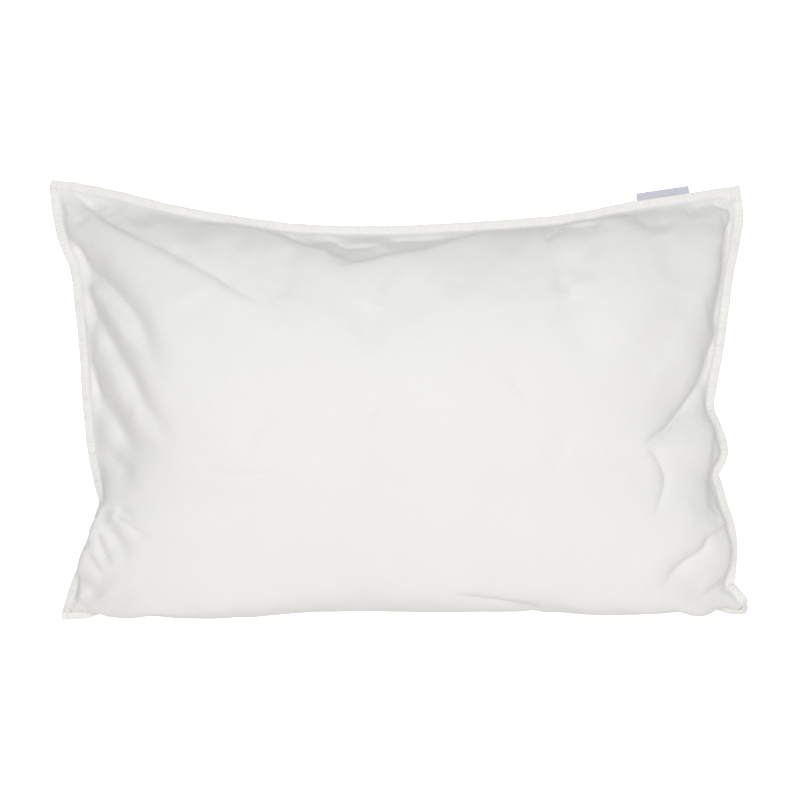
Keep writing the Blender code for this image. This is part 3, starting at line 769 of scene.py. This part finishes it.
def swept(bm, frames, section, cloth, shape):
    """A closed strip along the frames. shape changes its rows of (outwards, above) along the way.

    Gives the strip's length.
    """
    points, pointing, upper = frames
    runs, sides = len(points) - 1, len(section)
    grid = bmesh.ops.create_grid(bm, x_segments=sides, y_segments=runs, size=0.5)
    at = np.array([vert.co for vert in grid["verts"]])
    column = np.round((at[:, 0] + 0.5) * sides).astype(int)
    row = np.round((at[:, 1] + 0.5) * runs).astype(int)
    along = np.concatenate([[0], np.cumsum(np.linalg.norm(np.diff(points, axis=0), axis=1))])
    around = np.linalg.norm(np.diff(section[:, :2], axis=0, append=section[:1, :2]), axis=1)
    around = np.concatenate([[0], np.cumsum(around)])
    outwards, above = shape(along[row], section[column % sides])
    places = points[row] + pointing[row] * outwards[:, None] + upper[row] * above[:, None]
    index = {vert: i for i, vert in enumerate(grid["verts"])}
    for vert, i in index.items():
        vert.co = places[i]
        for loop in vert.link_loops:
            loop[cloth].uv = along[row[i]] * MM, around[column[i]] * MM
    bmesh.ops.remove_doubles(bm, verts=grid["verts"], dist=0.001)
    bmesh.ops.holes_fill(bm, edges=[edge for edge in bm.edges if edge.is_boundary], sides=sides)
    return along[-1]


def joined(*parts):
    """Several runs of frames as one."""
    return tuple(np.concatenate(columns) for columns in zip(*parts))


def stations(name, first, last, step):
    """Even places along a part of an edge."""
    return np.linspace(first, last, max(2, round((last - first) * SIDE[name] / step)))


def turned_corner(step):
    """Frames that fan round the lower right corner, from the bottom edge's to the right edge's."""
    first, last = outward_of("bottom", np.ones(1))[0], outward_of("right", np.zeros(1))[0]
    *place, droop, _ = CORNERS["lower_right"]
    turn = Vector(first).angle(Vector(last))
    count = max(4, round(turn * 10 / step))
    level = np.array([Vector(first).slerp(Vector(last), i / count) for i in range(1, count)])
    return drooped(np.tile(np.array(place, float), (len(level), 1)), level, np.full(len(level), float(droop)))


def lapped(name, first, step, starts):
    """A side strip's frames.

    It starts over the bottom strip's end, or under it where starts is -1, and ends under the top strip's.
    """
    tucked = TUCKED / SHORT_SIDE
    places = stations(name, first - tucked, 1 + tucked, step)
    points, pointing, upper = frames_along(name, places)
    start = ease((first - places) / tucked + 0.5) * starts
    end = ease((places - 1) / tucked + 0.5) * -1
    return points + UP * ((start + end) * LAPPED)[:, None], pointing, upper


def strip_runs(settings, step):
    """Every strip's frames, by the name of its solid."""
    step = step / MM
    past = settings.outer / MM / LONG_SIDE
    return {
        "top_binding": frames_along("top", stations("top", -past, 1 + past, step)),
        "left_binding": lapped("left", 0, step, 1),
        "right_binding": lapped("right", TURNED_UP, step, -1),
        "bottom_binding": joined(
            frames_along("bottom", stations("bottom", -past, 1, step)),
            turned_corner(step),
            frames_along("right", stations("right", 0, TURNED_UP, step)),
        ),
    }


def ends_of(name, settings, along, outwards, above):
    """The top strip's right end opens out over the corner. The bottom strip's turned-up end is pleated."""
    outer = settings.outer / MM
    if name == "top_binding":
        opened = OPENED * ease((along - along.max()) / OPENED_FROM + 1)
        lifted = above * (1 + OPENED_LIFT * opened * (1 - outwards / outer))
        return outer - (outer - outwards) * (1 + opened), lifted
    if name == "bottom_binding":
        pleated = PLEAT_DEPTH * ease(3 * ((along - along.max()) / PLEATED_FROM + 1))
        return outwards, above + pleated * np.sin(2 * pi * outwards / PLEATS) * ease(outwards / 3)
    return outwards, above


def ribbed(name, settings, seed):
    """The cross ribs that sewing draws into a folded strip, and the slight waver of its edges."""
    spacing, deep, waver = settings.rib_spacing / MM, settings.rib_depth / MM, settings.waver / MM

    def shape(along, section):
        places = np.unique(along)
        strength = np.maximum(RIB_WEAKEST, 0.75 + 0.9 * wander(places, SWINGS["strength"], seed, 5))
        drift = RIB_DRIFT * wander(places, SWINGS["drift"], seed, 0)
        rib = np.sin(2 * pi * places / spacing + drift) * strength
        sway = waver * wander(places, SWINGS["waver"], seed, 9) + RIB_PULL * deep * rib
        which = np.searchsorted(places, along)
        outwards = section[:, 0] + sway[which] * ease(section[:, 0] / settings.outer * MM)
        above = section[:, 1] + np.sign(section[:, 1]) * deep * rib[which] * section[:, 2]
        return ends_of(name, settings, along, outwards, above)

    return shape


def measure(name, description, default):
    """A setting in metres."""
    return FloatProperty(name=name, description=description, default=default, unit="LENGTH")


def amount(name, description, default):
    """A plain number."""
    return FloatProperty(name=name, description=description, default=default, min=0)


def count_of(name, description, default):
    """A whole number."""
    return IntProperty(name=name, description=description, default=default, min=1)


def colour_of(name, description, code):
    """A setting for a colour, from its sRGB hex code."""
    return FloatVectorProperty(name=name, description=description, default=linear(code), subtype="COLOR")


class CoverSettings(bpy.types.PropertyGroup):
    cells_along: count_of("Cells along", "Mesh cells from end to end", 102)
    cells_upright: count_of("Cells upright", "Mesh cells across", 72)
    crown: measure("Crown", "How far the front stands over the seams", 0.078)
    pressure: amount("Pressure", "Of the filling, in the cloth simulation", 4.0)
    slack: amount("Slack", "How much larger the cloth is than its form", 0.02)
    bending: amount("Bending", "Stiffness of the cloth against folds", 0.5)
    steps: count_of("Steps", "Steps that the simulation takes in a frame", 6)
    frames: count_of("Frames", "How long the simulation runs", 20)
    cap: measure("Cap", "Furthest that the simulation moves a point", 0.006)
    fold_strength: amount("Folds", "Depth of all the folds, as a share of the table's", 1.0)
    crumple: measure("Crumple", "Depth of the small unevenness", 0.0006)
    colour: colour_of("Colour", "The washed cotton", "#F5F5F4")
    shade: colour_of("Shade", "The cotton where it is a touch greyer", "#F1F0EE")


class EdgingSettings(bpy.types.PropertyGroup):
    inner: measure("Inner edge", "From the seam to the strip", 0.0013)
    outer: measure("Outer edge", "From the seam to the strip's fold", 0.010)
    thickness: measure("Thickness", "Of the folded strip", 0.0026)
    step: measure("Step", "Between the mesh's rows", 0.0011)
    rib_spacing: measure("Rib spacing", "Between the cross ribs", 0.0031)
    rib_depth: measure("Rib depth", "How far the ribs stand out", 0.0006)
    waver: measure("Waver", "How far the folded edge sways", 0.0005)
    stitch_in: measure("Stitch line", "From the strip's inner edge", 0.0016)
    stitch_sink: measure("Stitch sink", "How far the stitches draw the strip in", 0.0003)
    stitch_pitch: measure("Stitch pitch", "From one stitch to the next", 0.0028)
    thread: measure("Thread", "Its thickness", 0.00042)
    colour: colour_of("Colour", "The folded cotton", "#FAF9F7")
    shade: colour_of("Shade", "The cotton in its hollows", "#F5F3EF")


class LabelSettings(bpy.types.PropertyGroup):
    length: measure("Length", "Along the edge", 0.054)
    reach: measure("Reach", "From the seam to the folded edge", 0.0175)
    thickness: measure("Thickness", "Of both layers", 0.0010)
    colour: colour_of("Colour", "The woven tape", "#D6D8E2")
    shade: colour_of("Shade", "The tape between its ribs", "#CBCDD9")


class StageSettings(bpy.types.PropertyGroup):
    view_width: measure("View width", "What the picture takes in", 0.8)
    camera_height: measure("Camera height", "Over the floor", 5.0)
    key_power: amount("Key light", "Power of the large soft light", 49.0)
    bounce_power: amount("Bounce", "Power of the warm light from below", 9.0)
    bounce_colour: colour_of("Bounce colour", "Of the warm light from below", "#FFF4E8")
    ambient: amount("Ambient", "Light from all round", 0.5)
    floor_glow: amount("Floor glow", "Light from the floor itself", 0.9)
    floor_colour: colour_of("Floor", "The plain floor", "#FAFAFA")


class PillowcaseSettings(bpy.types.PropertyGroup):
    cover: PointerProperty(type=CoverSettings)
    edging: PointerProperty(type=EdgingSettings)
    label: PointerProperty(type=LabelSettings)
    stage: PointerProperty(type=StageSettings)


class PILLOWCASE_OT_cover(bpy.types.Operator):
    """Make the filled cotton cover with its crown, its folds and its crumple"""

    bl_idname = "pillowcase.cover"
    bl_label = "Cover"

    def execute(self, context):
        settings = context.scene.pillowcase.cover
        bm = bmesh.new()
        layers = [bm.verts.layers.float.new(name) for name in ("panel", "along", "upright")]
        layers.append(bm.loops.layers.uv.new("cloth"))
        cells = settings.cells_along, settings.cells_upright
        rims = add_panel(bm, *cells, lambda u, v: front_surface(u, v, settings.crown / MM), 1, layers)
        rims += add_panel(bm, *cells, back_surface, -1, layers)
        bmesh.ops.bridge_loops(bm, edges=rims)
        piece = new_piece("cover", bm, washed_percale(settings), ["filled_case"])
        seam = self.from_seam(piece) < HELD_BY_SEAM
        lying = points_of(piece.data)[:, 2] < HELD_BY_FLOOR * MM
        fill_with_pressure(piece, seam | lying, settings)
        subdivide(piece, 1)
        for narrow, times in NARROW:
            refine(piece, narrow, times)
        self.press_folds(piece, settings)
        return {"FINISHED"}

    def read(self, piece, name):
        """A layer that the panels were given."""
        values = np.empty(len(piece.data.vertices))
        piece.data.attributes[name].data.foreach_get("value", values)
        return values

    def from_seam(self, piece):
        """How far in from the nearest edge each point lies, along the cloth."""
        distances = edge_distances(self.read(piece, "along"), self.read(piece, "upright"))
        return np.min(list(distances.values()), axis=0)

    def press_folds(self, piece, settings):
        """Presses the folds and the gathers into the front, and crumples the cloth."""
        points = points_of(piece.data)
        table_points = points / MM - OUTLINE_SHIFT
        normals = np.empty(len(points) * 3)
        piece.data.vertex_normals.foreach_get("vector", normals)
        normals = normals.reshape(-1, 3)
        free = ease(self.from_seam(piece) / FOLD_RISE)
        front = ease(self.read(piece, "panel")) * free
        depth = fold_depths(table_points[:, :2]) * settings.fold_strength
        ripple = gathered(self.read(piece, "along"), self.read(piece, "upright"))
        rough = crumple(table_points, BROAD_BUMPS, BROAD_SEED)
        rough += SMALL_SHARE * crumple(table_points, SMALL_BUMPS, SMALL_SEED)
        rough *= free * ease(points[:, 2] / MM / CRUMPLE_RISE)
        push = normals + UP
        push /= np.maximum(np.linalg.norm(push, axis=1), LEAST_LEAN)[:, None]
        points += normals * (settings.crumple * rough)[:, None]
        points += push * ((ripple - depth) * front * MM)[:, None]
        set_points(piece.data, points)


class PILLOWCASE_OT_edging(bpy.types.Operator):
    """Make the folded strips round the edge"""

    bl_idname = "pillowcase.edging"
    bl_label = "Edging"

    def execute(self, context):
        settings = context.scene.pillowcase.edging
        material = folded_cotton(settings)
        section = strip_section(settings)
        for seed, (name, frames) in enumerate(strip_runs(settings, settings.step).items()):
            bm = bmesh.new()
            cloth = bm.loops.layers.uv.new("cloth")
            length = swept(bm, frames, section, cloth, ribbed(name, settings, seed * SEED_STEP))
            piece = new_piece(name.replace("binding", "edging"), bm, material, [name])
        return {"FINISHED"}


class PILLOWCASE_OT_stitching(bpy.types.Operator):
    """Make the topstitching that holds the strips"""

    bl_idname = "pillowcase.stitching"
    bl_label = "Stitching"

    def execute(self, context):
        settings = context.scene.pillowcase.edging
        bm = bmesh.new()
        cloth = bm.loops.layers.uv.new("cloth")
        for name, frames in strip_runs(settings, settings.stitch_pitch / STEPS_A_STITCH).items():
            for face in (1, -1):
                section = self.thread_section(settings, face)
                swept(bm, frames, section, cloth, self.in_and_out(name, settings, face))
        new_piece("topstitching", bm, folded_cotton(settings), [])
        return {"FINISHED"}

    def thread_section(self, settings, face):
        """A round thread on the stitch line of one face."""
        out = (settings.inner + settings.stitch_in) / MM
        above = (settings.thickness / 2 - settings.stitch_sink) / MM * face
        thick = settings.thread / MM / 2
        turns = np.arange(THREAD_SIDES) * 2 * pi / THREAD_SIDES
        return np.column_stack([out + thick * np.cos(turns), above + thick * np.sin(turns)])

    def in_and_out(self, name, settings, face):
        """The thread dives into the strip between one stitch and the next."""
        pitch, dive = settings.stitch_pitch / MM, settings.thread / MM * DIVE

        def shape(along, rows):
            into = np.abs(np.cos(pi * along / pitch)) ** DIVE_SHARP
            return ends_of(name, settings, along, rows[:, 0], rows[:, 1] - face * dive * into)

        return shape


class PILLOWCASE_OT_label(bpy.types.Operator):
    """Make the blank woven label behind the top strip"""

    bl_idname = "pillowcase.label"
    bl_label = "Label"

    def execute(self, context):
        settings = context.scene.pillowcase.label
        bm = bmesh.new()
        cloth = bm.loops.layers.uv.new("cloth")
        reach, thick = settings.reach / MM, settings.thickness / MM
        upper = -context.scene.pillowcase.edging.thickness / MM / 2 - LABEL_DROP
        lower, layer = upper - thick, thick * LABEL_LAYER
        section = np.array(
            (
                (LABEL_HIDDEN, upper),
                (reach * 0.6, upper),
                (reach - thick * 0.7, upper),
                (reach - thick * 0.2, upper - thick * 0.15),
                (reach, upper - thick * 0.5),
                (reach - thick * 0.2, upper - thick * 0.85),
                (reach - thick * 0.7, lower),
                (reach * 0.6, lower),
                (LABEL_HIDDEN, lower),
                (LABEL_HIDDEN, lower + layer),
                (reach - thick, lower + layer),
                (reach - thick, upper - layer),
                (LABEL_HIDDEN, upper - layer),
            )
        )
        last = LABEL_FROM + settings.length / MM / LONG_SIDE
        frames = frames_along("top", stations("top", LABEL_FROM, last, LABEL_STEP))

        def shape(along, rows):
            out, above = rows.T
            return out, above + LABEL_WAVE * np.sin(along / LABEL_SWING) * ease((out - 9) / 8)

        swept(bm, frames, section, cloth, shape)
        piece = new_piece("side_label", bm, woven_satin(settings), ["label"])
        return {"FINISHED"}


class PILLOWCASE_OT_stage(bpy.types.Operator):
    """Make the plain floor, the soft light and the camera straight over the pillow"""

    bl_idname = "pillowcase.stage"
    bl_label = "Stage"

    def execute(self, context):
        settings = context.scene.pillowcase.stage
        scene = context.scene
        bm = bmesh.new()
        bmesh.ops.create_grid(bm, x_segments=1, y_segments=1, size=FLOOR_HALF)
        bmesh.ops.translate(bm, vec=(0, 0, -FLOOR_DROP), verts=bm.verts)
        mesh = bpy.data.meshes.new("floor")
        bm.to_mesh(mesh)
        bm.free()
        mesh.materials.append(lit_board(settings))
        floor = bpy.data.objects.new("floor", mesh)
        scene.collection.objects.link(floor)
        floor.visible_diffuse = False  # it lights nothing, as a background that is cut out

        world = bpy.data.worlds.new("studio")
        world.use_nodes = True
        background = world.node_tree.nodes["Background"]
        background.inputs["Color"].default_value = (1, 1, 1, 1)
        background.inputs["Strength"].default_value = settings.ambient
        scene.world = world

        self.soft_light("key", KEY_AT, KEY_SIZE, settings.key_power, (1, 1, 1))
        self.soft_light("bounce", BOUNCE_AT, BOUNCE_SIZE, settings.bounce_power, settings.bounce_colour)

        lens = bpy.data.cameras.new("camera")
        lens.sensor_width = SENSOR
        lens.lens = SENSOR * (settings.camera_height - SEAM_LEVEL) / settings.view_width
        lens.clip_end = 10 * settings.camera_height
        camera = bpy.data.objects.new("camera", lens)
        across, up = OUTLINE_SHIFT[:2] * MM
        camera.location = (across, up + VIEW_MIDDLE * MM, settings.camera_height)
        scene.collection.objects.link(camera)
        scene.camera = camera
        scene.view_settings.view_transform = "Standard"
        return {"FINISHED"}

    def soft_light(self, name, place, size, power, colour):
        """A square area light that faces the pillow."""
        lamp = bpy.data.lights.new(name, "AREA")
        lamp.shape = "SQUARE"
        lamp.size, lamp.energy, lamp.color = size, power, colour
        light = bpy.data.objects.new(name, lamp)
        light.location = place
        light.rotation_euler = (-light.location).to_track_quat("-Z", "Y").to_euler()
        bpy.context.scene.collection.objects.link(light)


class VIEW3D_PT_pillowcase(bpy.types.Panel):
    bl_label = "Pillowcase"
    bl_space_type = "VIEW_3D"
    bl_region_type = "UI"
    bl_category = "Pillowcase"

    def draw(self, context):
        for part, operator in PARTS:
            box = self.layout.box()
            settings = getattr(context.scene.pillowcase, part)
            for name in settings.bl_rna.properties.keys():
                if name not in ("name", "rna_type"):
                    box.prop(settings, name)
            box.operator(operator)


PARTS = (
    ("cover", "pillowcase.cover"),
    ("edging", "pillowcase.edging"),
    ("edging", "pillowcase.stitching"),
    ("label", "pillowcase.label"),
    ("stage", "pillowcase.stage"),
)
CLASSES = (
    CoverSettings,
    EdgingSettings,
    LabelSettings,
    StageSettings,
    PillowcaseSettings,
    PILLOWCASE_OT_cover,
    PILLOWCASE_OT_edging,
    PILLOWCASE_OT_stitching,
    PILLOWCASE_OT_label,
    PILLOWCASE_OT_stage,
    VIEW3D_PT_pillowcase,
)


def register():
    for each in CLASSES:
        bpy.utils.register_class(each)
    bpy.types.Scene.pillowcase = PointerProperty(type=PillowcaseSettings)


def unregister():
    del bpy.types.Scene.pillowcase
    for each in reversed(CLASSES):
        bpy.utils.unregister_class(each)


def main():
    register()
    bpy.ops.pillowcase.cover()
    bpy.ops.pillowcase.edging()
    bpy.ops.pillowcase.stitching()
    bpy.ops.pillowcase.label()
    bpy.ops.pillowcase.stage()


if __name__ == "__main__":
    main()
